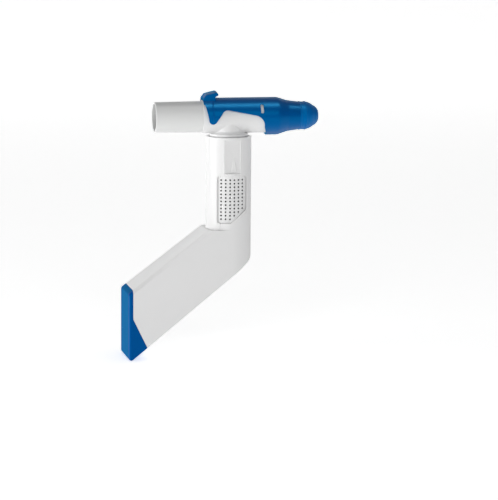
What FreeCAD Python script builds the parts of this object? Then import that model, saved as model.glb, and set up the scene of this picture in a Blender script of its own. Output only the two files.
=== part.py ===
import FreeCAD, Part
import Sketcher
import math
import os
import re

# Oscillating positive expiratory pressure device, in millimetres.
# Origin: on the upright tube's axis, at the middle of the hand grip. +Z runs up the tube, the duct
# leaves towards -X, and the nose piece points towards +X. The device is symmetric about the XZ plane.

SIZES = {
    "tool_margin": (1.0, "how far cutting tools reach past what they cut"),
    # upright tube of the housing
    "tube_radius": (16.5, "outside of the upright tube"),
    "rim_height": (34.0, "rim of the tube above the grip centre"),
    "mouth_radius": (14.45, "counterbore that takes the head's collar"),
    "mouth_depth": (2.8, "depth of that counterbore"),
    "bore_radius": (13.7, "bore of the upright tube"),
    "snap_drop": (7.8, "middle of the snap groove below the rim"),
    "snap_width": (2.2, "width of the snap groove"),
    "snap_depth": (0.4, "depth of the snap groove"),
    "flat_half_width": (6.0, "half width of the flat on the tube's front and back"),
    "flat_sink": (0.45, "depth of the flat at its upright sides"),
    "flat_drop": (3.4, "top of the flat below the rim"),
    "flat_gap": (1.6, "lower end of the flat above the grille window"),
    # bent duct of the housing
    "ledge_drop": (34.5, "ledge of the duct below the grip centre"),
    "ledge_reach": (17.8, "ledge corner from the tube's axis"),
    "duct_reach": (76.0, "end face of the cap from the tube's axis"),
    "duct_top_drop": (78.8, "upper end edge below the grip centre"),
    "duct_bottom_drop": (129.4, "lower end edge below the grip centre"),
    "heel_drop": (55.4, "heel of the duct below the grip centre"),
    "heel_round": (9.6, "radius of the heel's rounding"),
    "heel_cut": (3.9, "how far that rounding reaches along both of its sides"),
    "duct_half_width": (19.0, "half width of the duct at its end face"),
    "duct_wall": (1.6, "wall of the duct"),
    "edge_round": (3.0, "radius of the duct's upper long edges"),
    # seam between the duct and its end cap
    "seam_inset": (3.4, "upright stretch of the seam from the end face"),
    "knee_fall": (18.4, "knee of the seam below the upper end edge"),
    "toe_inset": (13.7, "lower end of the seam from the end face"),
    "toe_rise": (11.2, "lower end of the seam above the lower end edge"),
    "seam_gap": (0.12, "gap between duct and cap along the seam"),
    "cap_plate": (1.9, "end plate of the cap"),
    "cap_round": (2.0, "rounding round the cap's end face"),
    "plug_depth": (4.0, "how far the cap's plug enters the duct"),
    "plug_clearance": (0.2, "play between the plug and the duct's wall"),
    "plug_wall": (1.2, "wall of the plug"),
    # grille panels in the tube
    "grille_half_width": (10.8, "half width of the grille window"),
    "grille_top": (4.8, "top of the window above the grip centre"),
    "grille_drop": (29.7, "bottom of the window below the grip centre"),
    "bevel_drop": (19.8, "upper end of the window's cut corner below the grip centre"),
    "bevel_reach": (-1.5, "lower end of the window's cut corner from the tube's axis"),
    "grille_corner": (2.4, "corner radius of the window"),
    "grille_recess": (1.15, "depth of the panel's face below the tube's surface"),
    "grille_thickness": (1.0, "thickness of the panel"),
    "grille_seat": (1.3, "width of the ledge that the panel sits on"),
    "grille_clearance": (0.1, "play round the panel"),
    "grille_lift": (0.05, "play between the panel and its ledge"),
    "hole_radius": (0.65, "radius of one exhaust hole"),
    "column_step": (3.1, "distance between two columns of holes"),
    "row_step": (2.58, "height between two rows of holes"),
    "first_row": (3.0, "first row of holes below the window's top"),
    # raised position pointer on the front flat
    "pointer_width": (4.4, "foot of the pointer"),
    "pointer_length": (11.6, "length of the pointer"),
    "pointer_shift": (1.2, "middle of the pointer from the tube's axis"),
    "pointer_gap": (2.8, "foot of the pointer above the grille window"),
    "pointer_proud": (0.4, "height of the pointer above its flat"),
    # head: crossing tube, neck, collar and hose spigot
    "tee_height": (46.45, "axis of the crossing tube above the grip centre"),
    "tee_radius": (12.0, "outside of the crossing tube"),
    "tee_left": (20.3, "port end of the crossing tube from the upright axis"),
    "tee_right": (33.0, "nose end of the crossing tube from the upright axis"),
    "tee_bore": (9.6, "bore of the crossing tube"),
    "tee_edge": (0.4, "rounding of the crossing tube's ends"),
    "socket_radius": (10.5, "socket for the port tube and the valve seat"),
    "socket_depth": (10.0, "depth of that socket"),
    "neck_radius": (11.0, "waist of the neck"),
    "neck_start": (4.6, "waist of the neck below the crossing tube's axis"),
    "neck_foot": (2.2, "lower end of the neck's straight wall above the rim"),
    "neck_flare": (3.2, "radius of the hollow flare from there to the collar"),
    "collar_play": (0.4, "gap round the collar in the mouth"),
    "collar_rise": (0.5, "top of the collar above the rim"),
    "collar_lip": (0.35, "width of the collar's outer bevel"),
    "journal_play": (0.08, "radial play of the journal in the bore"),
    "journal_depth": (11.0, "journal's lower end below the rim"),
    "journal_wall": (1.5, "wall of the journal"),
    "floor_wall": (1.6, "floor that joins the spigot to the journal"),
    "neck_bore": (8.0, "bore of the neck and the spigot"),
    "spigot_wall": (1.4, "wall of the hose spigot"),
    "spigot_depth": (27.5, "lower end of the spigot below the rim"),
    # port tube with a 22 mm cone, 1 in 40 on the diameter
    "port_radius": (11.0, "tip of the port's cone"),
    "port_reach": (54.6, "open end of the port tube from the upright axis"),
    "port_land": (3.35, "straight land at the cone's tip, its rounded edge counted"),
    "port_taper": (80.0, "length over which the cone's radius grows by one"),
    "port_wall": (1.35, "wall of the port tube at its tip"),
    "port_edge": (0.35, "rounding of the port tube's edges"),
    "plug_in_play": (0.08, "radial play of pieces in the head's socket"),
    "port_plug": (8.4, "how far the port tube plugs into the head"),
    "port_plug_bore": (8.9, "bore of the plugged end"),
    # one-way valve in the head's socket
    "seat_thickness": (1.5, "thickness of the valve seat"),
    "seat_rim": (1.7, "width of the seat's rim"),
    "seat_hub": (2.0, "radius of the seat's hub"),
    "seat_spoke": (1.2, "width of one spoke"),
    "seat_spokes": (4, "number of spokes"),
    "stem_radius": (0.7, "stem of the flap"),
    "stem_play": (0.08, "radial play of the stem in the hub"),
    "flap_radius": (9.2, "outside of the flap"),
    "flap_thickness": (0.7, "thickness of the flap"),
    "flap_travel": (1.1, "play of the stem's bulb behind the seat"),
    "flap_gap": (0.05, "flap from the step of the head's bore"),
    "bulb_radius": (1.3, "bulb that keeps the stem in the hub"),
    "bulb_length": (1.6, "length of the bulb"),
    # nose piece: clip sleeve
    "sleeve_radius": (13.6, "outside of the sleeve"),
    "sleeve_play": (0.3, "radial play of the sleeve on the crossing tube"),
    "sleeve_left": (19.6, "open end of the sleeve from the upright axis"),
    "sleeve_right": (35.2, "end of the sleeve's straight stretch"),
    "cone_reach": (42.6, "end of the sleeve's steep cone"),
    "cone_radius": (11.25, "radius at the end of the steep cone"),
    "cone_round": (9.0, "rounding at both ends of the steep cone"),
    "waist_reach": (51.2, "shoulder that the soft tip butts against"),
    "waist_radius": (10.05, "radius at that shoulder"),
    "nozzle_radius": (8.6, "nozzle inside the soft tip"),
    "nozzle_length": (5.3, "length of the nozzle beyond that shoulder"),
    "nozzle_wall": (1.5, "wall of the nozzle"),
    "arch_reach": (4.9, "crown of the cut-out left of the upright axis"),
    "arch_rise": (6.0, "crown of the cut-out above the crossing tube's axis, before its round"),
    "arch_round": (4.0, "radius of that crown"),
    "arch_shoulder": (16.1, "where the cut-out's upper edge turns down"),
    "arch_shoulder_rise": (1.9, "height of the cut-out's edge there"),
    "arch_end": (24.6, "right end of the cut-out from the upright axis"),
    "arch_end_drop": (9.1, "how far that turn goes down"),
    "arch_end_round": (9.0, "radius of that turn"),
    "arch_end_lean": (4.2, "how far the cut-out's end leans right below that turn"),
    "arm_reach": (13.6, "middle of the clip arm's tip from the upright axis"),
    "arm_drop": (4.6, "tip of the clip arm below the crossing tube's axis"),
    "arm_tip": (2.85, "radius of the clip arm's tip"),
    "arm_turn": (53.0, "how far that tip turns up towards the cut-out, in degrees"),
    "arm_lean": (2.35, "how far the arm's left edge leans"),
    "end_notch_rise": (9.4, "lower edge of the sleeve's open end above the axis"),
    "rib_reach": (13.4, "rib of the clip arm from the upright axis"),
    "rib_width": (1.1, "width of that rib"),
    "rib_proud": (0.35, "height of that rib above the sleeve"),
    "catch_half_width": (6.6, "half width of the thumb catch"),
    "catch_back_rise": (17.1, "back edge of the thumb catch above the axis"),
    "catch_back_cut": (1.7, "chamfer of that edge, along the sleeve"),
    "catch_rise": (19.0, "crest of the thumb catch above the axis, before its round"),
    "catch_crest": (10.0, "crest of the catch from the upright axis"),
    "catch_tip": (8.6, "overhanging tip of the catch from the upright axis"),
    "catch_tip_rise": (17.2, "tip of the catch above the axis, before its round"),
    "catch_lip": (1.3, "height of the overhanging lip"),
    "catch_root": (10.9, "undercut of the catch from the upright axis"),
    "catch_undercut": (1.0, "undercut of the catch above the sleeve"),
    "catch_round": (1.5, "rounding of the catch's crest"),
    "slot_reach": (22.5, "middle of the window slot from the upright axis"),
    "slot_width": (2.4, "width of the window slot"),
    "slot_bottom": (3.1, "lower end of the slot above the axis"),
    "slot_top": (9.2, "upper end of the slot above the axis"),
    # nose piece: soft tip
    "tip_beyond": (9.5, "length of the soft tip beyond the nozzle, to the crest of its lip"),
    "bulge_beyond": (5.5, "where the dome turns inwards, beyond the nozzle's end"),
    "tip_bulge_radius": (7.4, "radius of the dome there"),
    "tip_dome": (11.5, "curve of the dome's side"),
    "tip_crown": (6.5, "curve of the dome's end"),
    "tip_hole": (3.6, "opening of the soft tip"),
    "tip_lip": (1.0, "rounded lip round that opening"),
    "tip_wall": (1.5, "wall of the dome"),
    "tip_band": (4.0, "straight band between the two beads"),
    "bead_width": (1.1, "width of one bead"),
    "bead_radius": (0.62, "radius of one bead"),
    "tip_play": (0.05, "play between nozzle and soft tip"),
    # valve hose
    "hose_wall": (1.1, "wall of the valve hose"),
    "hose_play": (0.3, "play between the hose and the spigot"),
    "hose_top_drop": (5.0, "upper end of the hose below the rim"),
    "hose_bend": (30.0, "radius of the hose's bend"),
    "hose_end_gap": (9.0, "hose end from the cap's end face, along the duct"),
    "hose_flat_half_width": (15.2, "half width of the flattened end"),
    "hose_flat_half_height": (2.3, "half height of the flattened end"),
}

DOC = FreeCAD.newDocument("expiratory_pressure_device")
SHEET = DOC.addObject("Spreadsheet::Sheet", "Sizes")
for row, (alias, (number, note)) in enumerate(SIZES.items(), start=1):
    SHEET.set("A%d" % row, note)
    SHEET.set("B%d" % row, str(number))
    SHEET.setAlias("B%d" % row, alias)
DOC.recompute()


def bound(text):
    """The expression with every size named in it read from the sheet."""
    return re.sub(r"[a-z_]+", lambda word: "Sizes." + word[0] if word[0] in SIZES else word[0], text)


def value(text):
    """The number that an expression of sizes stands for."""
    return float(SHEET.evalExpression(bound(text)))


def bind(thing, **properties):
    """Ties properties of an object to expressions of sizes."""
    for name, text in properties.items():
        thing.setExpression(name.replace("__", "."), bound(text))


# Sketches

def draw(sketch, corners, rounds=None, arcs=None):
    """Closed outline through corners given as expressions.

    rounds maps the number of a corner to the radius that rounds it off. arcs maps the number of a
    side to its radius and to the side of the way along it that its centre lies on, left (1) or right (-1).
    """
    rounds = rounds or {}
    arcs = arcs or {}
    points = [FreeCAD.Vector(value(x), value(y), 0) for x, y in corners]
    count = len(points)
    begins, ends = side_ends(points, rounds)
    heads = []
    for number in range(count):
        if number in arcs:
            radius, turn = arcs[number]
            sketch.addGeometry(arc_between(begins[number], ends[number], value(radius), turn), False)
            add_constraint(sketch, radius, "Radius", number)
            heads.append(1 if turn > 0 else 2)
        else:
            sketch.addGeometry(Part.LineSegment(begins[number], ends[number]), False)
            heads.append(1)
    for number, (x, y) in enumerate(corners):
        before = (number - 1) % count
        tail = 3 - heads[before]
        if number in rounds:
            coming = points[number] - points[before]
            going = points[(number + 1) % count] - points[number]
            turn = 1 if coming.cross(going).z > 0 else -1
            arc = sketch.addGeometry(
                arc_between(ends[before], begins[number], value(rounds[number]), turn), False)
            start, finish = (1, 2) if turn > 0 else (2, 1)
            sketch.addConstraint(Sketcher.Constraint("Tangent", before, tail, arc, start))
            sketch.addConstraint(Sketcher.Constraint("Tangent", arc, finish, number, heads[number]))
            add_constraint(sketch, rounds[number], "Radius", arc)
            sharp = sketch.addGeometry(Part.Point(points[number]), True)
            sketch.addConstraint(Sketcher.Constraint("PointOnObject", sharp, 1, before))
            sketch.addConstraint(Sketcher.Constraint("PointOnObject", sharp, 1, number))
            place = (sharp, 1)
        else:
            sketch.addConstraint(Sketcher.Constraint("Coincident", before, tail, number, heads[number]))
            place = (number, heads[number])
        add_constraint(sketch, x, "DistanceX", -1, 1, *place)
        add_constraint(sketch, y, "DistanceY", -1, 1, *place)


def add_constraint(sketch, text, kind, *where):
    """Dimension of a sketch, tied to an expression of sizes."""
    number = sketch.addConstraint(Sketcher.Constraint(kind, *where, value(text)))
    sketch.setExpression("Constraints[%d]" % number, bound(text))


def side_ends(points, rounds):
    """Where each side of an outline begins and ends once its corners are rounded."""
    count = len(points)
    begins = list(points)
    ends = [points[(number + 1) % count] for number in range(count)]
    for number, radius in rounds.items():
        corner = points[number]
        back = (points[number - 1] - corner).normalize()
        forth = (points[(number + 1) % count] - corner).normalize()
        reach = value(radius) / math.tan(back.getAngle(forth) / 2)
        ends[number - 1] = corner + back * reach
        begins[number] = corner + forth * reach
    return begins, ends


def arc_between(start, end, radius, turn):
    """Arc of less than half a turn, with its centre left (1) or right (-1) of the way along it."""
    chord = end - start
    across = FreeCAD.Vector(-chord.y, chord.x, 0) / chord.Length * turn
    centre = (start + end) / 2 + across * math.sqrt(radius ** 2 - chord.Length ** 2 / 4)
    circle = Part.Circle(centre, FreeCAD.Vector(0, 0, 1), radius)
    first, last = (start, end) if turn > 0 else (end, start)
    return Part.ArcOfCircle(circle, circle.parameter(first), circle.parameter(last))


def circles(sketch, radii):
    """Circles round the sketch's origin."""
    for radius in radii:
        ring = sketch.addGeometry(
            Part.Circle(FreeCAD.Vector(0, 0, 0), FreeCAD.Vector(0, 0, 1), value(radius)), False)
        sketch.addConstraint(Sketcher.Constraint("Coincident", ring, 3, -1, 1))
        add_constraint(sketch, radius, "Radius", ring)


def new_body(label, height="0"):
    """Part body whose origin stands on the upright axis at a height."""
    body = DOC.addObject("PartDesign::Body", label)
    body.Label = label
    bind(body, Placement__Base__z=height)
    return body


def body_sketch(body, name, role, level="0"):
    """Sketch on one of the body's own origin planes, moved along its normal to a level."""
    sketch = body.newObject("Sketcher::SketchObject", name)
    plane = next(item for item in body.Origin.OriginFeatures if item.Role == role)
    sketch.AttachmentSupport = [(plane, "")]
    sketch.MapMode = "FlatFace"
    bind(sketch, AttachmentOffset__Base__z=level)
    return sketch


def turned(body, kind, name, axis, corners, rounds=None, arcs=None):
    """Revolution or Groove of an outline in the XZ plane about the sketch's own axis."""
    sketch = body_sketch(body, name + "_outline", "XZ_Plane")
    draw(sketch, corners, rounds, arcs)
    feature = body.newObject("PartDesign::" + kind, name)
    feature.Profile = sketch
    feature.ReferenceAxis = (sketch, [axis])
    return feature


def pushed(body, kind, name, corners, rounds=None, arcs=None, depth="4 * tube_radius"):
    """Pad or Pocket of an outline in the XZ plane, as deep to the front as to the back."""
    sketch = body_sketch(body, name + "_outline", "XZ_Plane")
    draw(sketch, corners, rounds, arcs)
    feature = body.newObject("PartDesign::" + kind, name)
    feature.Profile = sketch
    feature.SideType = "Symmetric"
    bind(feature, Length=depth)
    return feature


# Solids made with primitives and booleans

def prism(name, plane, corners, rounds=None, arcs=None, low="-2 * tube_radius", high="2 * tube_radius"):
    """Outline pushed between two levels: along -Y when drawn from the side, along Z when from above."""
    sketch = DOC.addObject("Sketcher::SketchObject", name + "_outline")
    if plane == "side":
        sketch.Placement = FreeCAD.Placement(
            FreeCAD.Vector(0, 0, 0), FreeCAD.Rotation(FreeCAD.Vector(1, 0, 0), 90))
    draw(sketch, corners, rounds, arcs)
    solid = DOC.addObject("Part::Extrusion", name)
    solid.Base = sketch
    solid.DirMode = "Normal"
    solid.Solid = True
    bind(solid, LengthFwd=high, LengthRev="-(%s)" % low)
    return solid


def cylinder(name, radius, low, high):
    """Upright cylinder on the tube's axis between two heights."""
    solid = DOC.addObject("Part::Cylinder", name)
    bind(solid, Radius=radius, Height="(%s) - (%s)" % (high, low), Placement__Base__z=low)
    return solid


def cut(name, base, tool):
    """First solid less the second."""
    solid = DOC.addObject("Part::Cut", name)
    solid.Base = base
    solid.Tool = tool
    return solid


def fused(name, *solids):
    """Solids made into one."""
    solid = DOC.addObject("Part::MultiFuse", name)
    solid.Shapes = list(solids)
    return solid


def common(name, *solids):
    """What solids share."""
    solid = DOC.addObject("Part::MultiCommon", name)
    solid.Shapes = list(solids)
    return solid


# Form of the bent duct

TOP_FALL = "((duct_top_drop - ledge_drop) / (duct_reach - ledge_reach))"
BOTTOM_FALL = "((duct_bottom_drop - heel_drop) / (duct_reach + tube_radius))"
SPREAD_ANGLE = ("(acos(tube_radius / sqrt(duct_half_width ^ 2 + duct_reach ^ 2))"
                " - atan(duct_reach / duct_half_width))")
BEYOND = "tube_radius"
TINY = 0.001


def along_slope(fall):
    """Length along a sloping side for a unit of its run."""
    return "sqrt(1 + %s ^ 2)" % fall


def duct_form(name, inset, reach):
    """The duct's form, drawn in by inset, as far as reach from the tube's axis."""
    nose = "(tube_radius - (%s))" % inset
    touch = ("-%s * sin(%s)" % (nose, SPREAD_ANGLE), "%s * cos(%s)" % (nose, SPREAD_ANGLE))
    half_end = "(%s / cos(%s) + tan(%s) * (%s))" % (nose, SPREAD_ANGLE, SPREAD_ANGLE, reach)
    plan = prism(
        name + "_plan", "plan",
        [(touch[0], "-" + touch[1]), (nose, "0"), touch,
         ("-(%s)" % reach, half_end), ("-(%s)" % reach, "-" + half_end)],
        arcs={0: (nose, 1), 1: (nose, 1)},
        low="-duct_bottom_drop - 2 * " + BEYOND, high="-ledge_drop")
    ledge = "(-ledge_drop - (%s))" % inset
    corner = "(-ledge_reach + (%s) * (%s - 1) / %s)" % (inset, along_slope(TOP_FALL), TOP_FALL)
    top_end = "%s - %s * ((%s) + %s)" % (ledge, TOP_FALL, reach, corner)
    slope = along_slope(BOTTOM_FALL)
    level = "(-heel_drop - %s * tube_radius + (%s) * %s)" % (BOTTOM_FALL, inset, slope)
    heel = "(%s + %s * %s)" % (level, BOTTOM_FALL, nose)
    side = prism(
        name + "_side", "side",
        [(corner, ledge), ("-(%s)" % reach, top_end),
         ("-(%s)" % reach, "%s - %s * (%s)" % (level, BOTTOM_FALL, reach)),
         ("%s - heel_cut / %s" % (nose, slope), "%s - heel_cut * %s / %s" % (heel, BOTTOM_FALL, slope)),
         (nose, heel + " + heel_cut"), (nose, ledge)],
        arcs={3: ("heel_round", 1)})
    return common(name, plan, side)


def beyond_seam(name, shift):
    """Everything on the cap's side of the seam, moved by shift along the duct towards the tube."""
    along = "((%s) / %s)" % (shift, along_slope(TOP_FALL))
    rise = "(%s * %s)" % (TOP_FALL, along)
    seam = "-duct_reach + seam_inset + " + along
    knee = "(-duct_top_drop - knee_fall)"
    toe = "(-duct_bottom_drop + toe_rise)"
    lean = "((%s - %s) / (toe_inset - seam_inset))" % (knee, toe)
    far_toe = "-duct_reach + toe_inset + %s + %s / %s" % (along, BEYOND, lean)
    return prism(
        name, "side",
        [("-duct_reach - " + BEYOND, "-ledge_drop"), (seam, "-ledge_drop"), (seam, knee + " + " + rise),
         (far_toe, "%s - %s + %s" % (toe, BEYOND, rise)),
         ("-duct_reach - " + BEYOND, "%s - %s" % (toe, BEYOND))])


def rounded(name, base, radius, chosen):
    """The base with those of its edges rounded whose end points pass the test."""
    DOC.recompute()
    edges = []
    for number, edge in enumerate(base.Shape.Edges, start=1):
        if chosen([vertex.Point for vertex in edge.Vertexes]):
            edges.append((number, value(radius), value(radius)))
    solid = DOC.addObject("Part::Fillet", name)
    solid.Base = base
    solid.Edges = edges
    return solid


def make_envelope():
    """The duct and its cap in one, with rounded upper edges."""
    ledge = value("-ledge_drop")
    end_edge = value("-duct_top_drop")

    def runs_down_the_duct(ends):
        from_ledge = abs(max(end.z for end in ends) - ledge) < TINY
        return from_ledge and abs(min(end.z for end in ends) - end_edge) < TINY

    sharp = duct_form("sharp_envelope", "0", "duct_reach")
    return rounded("envelope", sharp, "edge_round", runs_down_the_duct)


def make_housing(envelope):
    """Upright tube and bent duct, moulded in one piece, with windows for the two grille panels."""
    tube = cylinder("tube_outside", "tube_radius", "-ledge_drop", "rim_height")
    duct = cut("duct_outside", envelope, beyond_seam("duct_seam", "seam_gap / 2"))
    outside = fused("housing_outside", tube, duct)
    cavity = duct_form("duct_cavity", "duct_wall", "duct_reach + " + BEYOND)
    bore = cylinder("tube_bore", "bore_radius", "-ledge_drop - 2 * duct_wall", "rim_height + tool_margin")
    mouth = cylinder("tube_mouth", "mouth_radius", "rim_height - mouth_depth", "rim_height + tool_margin")
    groove = cylinder(
        "snap_groove", "bore_radius + snap_depth",
        "rim_height - snap_drop - snap_width / 2", "rim_height - snap_drop + snap_width / 2")
    shell = cut("housing_shell", outside, fused("housing_hollow", cavity, bore, mouth, groove))
    front_flat, back_flat = make_flats()
    cuts = fused("housing_cuts", front_flat, back_flat, make_windows())
    housing = fused("housing", cut("housing_shaped", shell, cuts), make_pointer())
    housing.Refine = True
    return housing


FLAT_DEPTH = "(sqrt(tube_radius ^ 2 - flat_half_width ^ 2) - flat_sink)"


def make_flats():
    """What the sunk flats take off the tube's front and back, below the round rim."""
    flats = []
    for name, near, far in (("front_flat", "-tube_radius - tool_margin", "-" + FLAT_DEPTH),
                            ("back_flat", FLAT_DEPTH, "tube_radius + tool_margin")):
        flats.append(prism(
            name, "plan",
            [("-flat_half_width", near), ("flat_half_width", near), ("flat_half_width", far),
             ("-flat_half_width", far)],
            low="grille_top + flat_gap", high="rim_height - flat_drop"))
    return flats


def make_pointer():
    """Slim raised triangle on the front flat, against which the head's position is read."""
    foot = "grille_top + pointer_gap"
    return prism(
        "position_pointer", "side",
        [("pointer_shift - pointer_width / 2", foot), ("pointer_shift + pointer_width / 2", foot),
         ("pointer_shift", foot + " + pointer_length")],
        low="%s - pointer_proud" % FLAT_DEPTH, high="%s + pointer_proud" % FLAT_DEPTH)


# Grille panels

PANEL_OUTSIDE = "(tube_radius - grille_recess)"
PANEL_INSIDE = "(tube_radius - grille_recess - grille_thickness)"
LEDGE_FACE = "(tube_radius - grille_recess - grille_thickness - grille_lift)"
HOLE_COLUMNS = 6
LONG_COLUMN = 12
FULL_COLUMNS = 3


def window_prism(name, inset):
    """The grille window's outline, drawn in by inset, pushed from back to front."""
    side = "(grille_half_width - (%s))" % inset
    top = "grille_top - (%s)" % inset
    bottom = "-grille_drop + (%s)" % inset
    run = "(grille_half_width - bevel_reach)"
    rise = "(grille_drop - bevel_drop)"
    length = "sqrt(%s ^ 2 + %s ^ 2)" % (run, rise)
    bevel_top = "-bevel_drop + (%s) * (%s - %s) / %s" % (inset, length, rise, run)
    bevel_foot = "bevel_reach + (%s) * (%s - %s) / %s" % (inset, run, length, rise)
    corner = "(grille_corner - (%s) / 2)" % inset
    return prism(
        name, "side",
        [("-" + side, bottom), (bevel_foot, bottom), (side, bevel_top), (side, top), ("-" + side, top)],
        rounds={0: corner, 1: corner, 2: corner, 3: corner, 4: corner})


def make_windows():
    """Recess and through opening of the two windows, front and back."""
    seat = cylinder("window_seat", LEDGE_FACE, "-grille_drop - tool_margin", "grille_top + tool_margin")
    step = cut("window_step", window_prism("window_recess", "0"), seat)
    return fused("window_cuts", step, window_prism("window_opening", "grille_seat"))


def make_holes():
    """Straight grid of exhaust holes through both panels; the cut corner shortens the last columns."""
    drills = []
    for column in range(HOLE_COLUMNS):
        place = "(%g * column_step)" % (column - (HOLE_COLUMNS - 1) / 2)
        for line in range(LONG_COLUMN - max(0, column + 1 - FULL_COLUMNS)):
            drill = DOC.addObject("Part::Cylinder", "hole_%d_%d" % (column + 1, line + 1))
            drill.Placement.Rotation = FreeCAD.Rotation(FreeCAD.Vector(1, 0, 0), 90)
            bind(
                drill, Radius="hole_radius", Height="2 * tube_radius", Placement__Base__x=place,
                Placement__Base__y="tube_radius",
                Placement__Base__z="grille_top - first_row - %d * row_step" % line)
            drills.append(drill)
    holes = DOC.addObject("Part::Compound", "exhaust_holes")
    holes.Links = drills
    return holes


def make_panels(holes):
    """Two perforated exhaust panels that follow the tube's round, one in front and one behind."""
    outline = window_prism("panel_outline", "grille_clearance")
    outer = cylinder("panel_outer", PANEL_OUTSIDE, "-grille_drop - tool_margin", "grille_top + tool_margin")
    inner = cylinder(
        "panel_inner", PANEL_INSIDE, "-grille_drop - 2 * tool_margin", "grille_top + 2 * tool_margin")
    blank = cut("panel_blanks", common("panel_band", outline, outer), inner)
    panels = []
    for label, near in (("front_grille", "-2 * tube_radius"), ("rear_grille", "0")):
        half = DOC.addObject("Part::Box", label + "_half")
        bind(
            half, Length="2 * tube_radius", Width="2 * tube_radius", Height="4 * tube_radius",
            Placement__Base__x="-tube_radius", Placement__Base__y=near,
            Placement__Base__z="-grille_drop - 2 * tool_margin")
        panels.append(cut(label, common(label + "_blank", blank, half), holes))
    return panels


# End cap

def make_end_cap(envelope):
    """Cap that closes the duct: a flush skirt and a plug that enters the duct."""
    end_face = value("-duct_reach")

    def borders_end_face(ends):
        return all(abs(end.x - end_face) < TINY for end in ends)

    sharp = common("cap_outside", envelope, beyond_seam("cap_seam", "-seam_gap / 2"))
    skirt = rounded("cap_skirt", sharp, "cap_round", borders_end_face)
    play = "duct_wall + plug_clearance"
    plug_form = duct_form("plug_form", play, "duct_reach - cap_plate / 2")
    plug = common("cap_plug", plug_form, beyond_seam("plug_end", "plug_depth"))
    hollow = duct_form("cap_hollow", play + " + plug_wall", "duct_reach - cap_plate")
    cap = cut("end_cap", fused("cap_blank", skirt, plug), hollow)
    cap.Refine = True
    return cap


# Head

RIM = "(rim_height - tee_height)"
JOURNAL = "(bore_radius - journal_play)"
SPIGOT = "(neck_bore + spigot_wall)"


def make_tee_head():
    """Crossing tube, hollow neck, collar that turns in the housing's mouth, and hose spigot."""
    body = new_body("tee_head", "tee_height")
    turned(
        body, "Revolution", "crossing_tube", "H_Axis",
        [("-tee_left", "0"), ("-tee_left", "tee_radius"), ("tee_right", "tee_radius"), ("tee_right", "0")],
        rounds={1: "tee_edge", 2: "tee_edge"})
    collar = "(mouth_radius - collar_play)"
    floor = "(%s - mouth_depth + journal_play)" % RIM
    snap_middle = "(%s - snap_drop)" % RIM
    snap = "(%s + snap_depth)" % JOURNAL
    journal_end = "(%s - journal_depth)" % RIM
    spigot_end = "(%s - spigot_depth)" % RIM
    turned(
        body, "Revolution", "neck", "V_Axis",
        [("0", "-neck_start"), ("neck_radius", "-neck_start"), ("neck_radius", RIM + " + neck_foot"),
         (collar + " - collar_lip", RIM + " + collar_rise"), (collar, RIM), (collar, floor), (JOURNAL, floor),
         (JOURNAL, snap_middle + " + snap_width / 3"), (snap, snap_middle + " + snap_width / 6"),
         (snap, snap_middle + " - snap_width / 6"), (JOURNAL, snap_middle + " - snap_width / 3"),
         (JOURNAL, journal_end), (SPIGOT, journal_end), (SPIGOT, spigot_end), ("0", spigot_end)],
        arcs={2: ("neck_flare", 1)})
    ring_top = "(%s - mouth_depth - floor_wall)" % RIM
    inside = "(%s - journal_wall)" % JOURNAL
    turned(
        body, "Groove", "hose_space", "V_Axis",
        [(SPIGOT, ring_top), (inside, ring_top), (inside, journal_end + " - tool_margin"),
         (SPIGOT, journal_end + " - tool_margin")])
    turned(
        body, "Groove", "air_passage", "H_Axis",
        [("-tee_left - tool_margin", "0"), ("-tee_left - tool_margin", "socket_radius"),
         ("-tee_left + socket_depth", "socket_radius"), ("-tee_left + socket_depth", "tee_bore"),
         ("tee_right + tool_margin", "tee_bore"), ("tee_right + tool_margin", "0")])
    turned(
        body, "Groove", "neck_passage", "V_Axis",
        [("0", "0"), ("neck_bore", "0"), ("neck_bore", spigot_end + " - tool_margin"),
         ("0", spigot_end + " - tool_margin")])
    return body


def make_port_tube():
    """Thin-walled tube with a 22 mm cone outside, plugged into the head's socket."""
    body = new_body("port_tube", "tee_height")
    shoulder = "(port_radius + (port_reach - tee_left - port_land) / port_taper)"
    plug = "(socket_radius - plug_in_play)"
    bore = "(port_radius - port_wall)"
    turned(
        body, "Revolution", "wall", "H_Axis",
        [("-port_reach", bore), ("-port_reach", "port_radius"), ("-port_reach + port_land", "port_radius"),
         ("-tee_left", shoulder), ("-tee_left", plug), ("-tee_left + port_plug", plug),
         ("-tee_left + port_plug", "port_plug_bore"), ("-tee_left", bore)],
        rounds={0: "port_edge", 1: "port_edge", 3: "port_edge"})
    return body


# One-way valve

SEAT_LEFT = "(-tee_left + port_plug)"
SEAT_RIGHT = "(-tee_left + socket_depth)"


def make_valve_seat():
    """Spoked ring held between the port tube's end and the step of the head's bore."""
    body = new_body("valve_seat", "tee_height")
    outside = "(socket_radius - plug_in_play)"
    disc = body_sketch(body, "disc_outline", "YZ_Plane", SEAT_LEFT)
    circles(disc, [outside, "stem_radius + stem_play"])
    plate = body.newObject("PartDesign::Pad", "plate")
    plate.Profile = disc
    bind(plate, Length="seat_thickness")
    window = body_sketch(body, "window_outline", "YZ_Plane", SEAT_LEFT)
    rim = "(%s - seat_rim)" % outside
    half = "(seat_spoke / 2)"
    far = "sqrt(%s ^ 2 - %s ^ 2)" % (rim, half)
    near = "sqrt(seat_hub ^ 2 - %s ^ 2)" % half
    draw(
        window, [(near, half), (far, half), (half, far), (half, near)],
        arcs={1: (rim, 1), 3: ("seat_hub", -1)})
    opening = body.newObject("PartDesign::Pocket", "opening")
    opening.Profile = window
    opening.SideType = "Symmetric"
    bind(opening, Length="seat_thickness * 4")
    pattern = body.newObject("PartDesign::PolarPattern", "spokes")
    pattern.Originals = [opening]
    pattern.Axis = (window, ["N_Axis"])
    pattern.Angle = 360
    bind(pattern, Occurrences="seat_spokes")
    body.Tip = pattern
    return body


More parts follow.
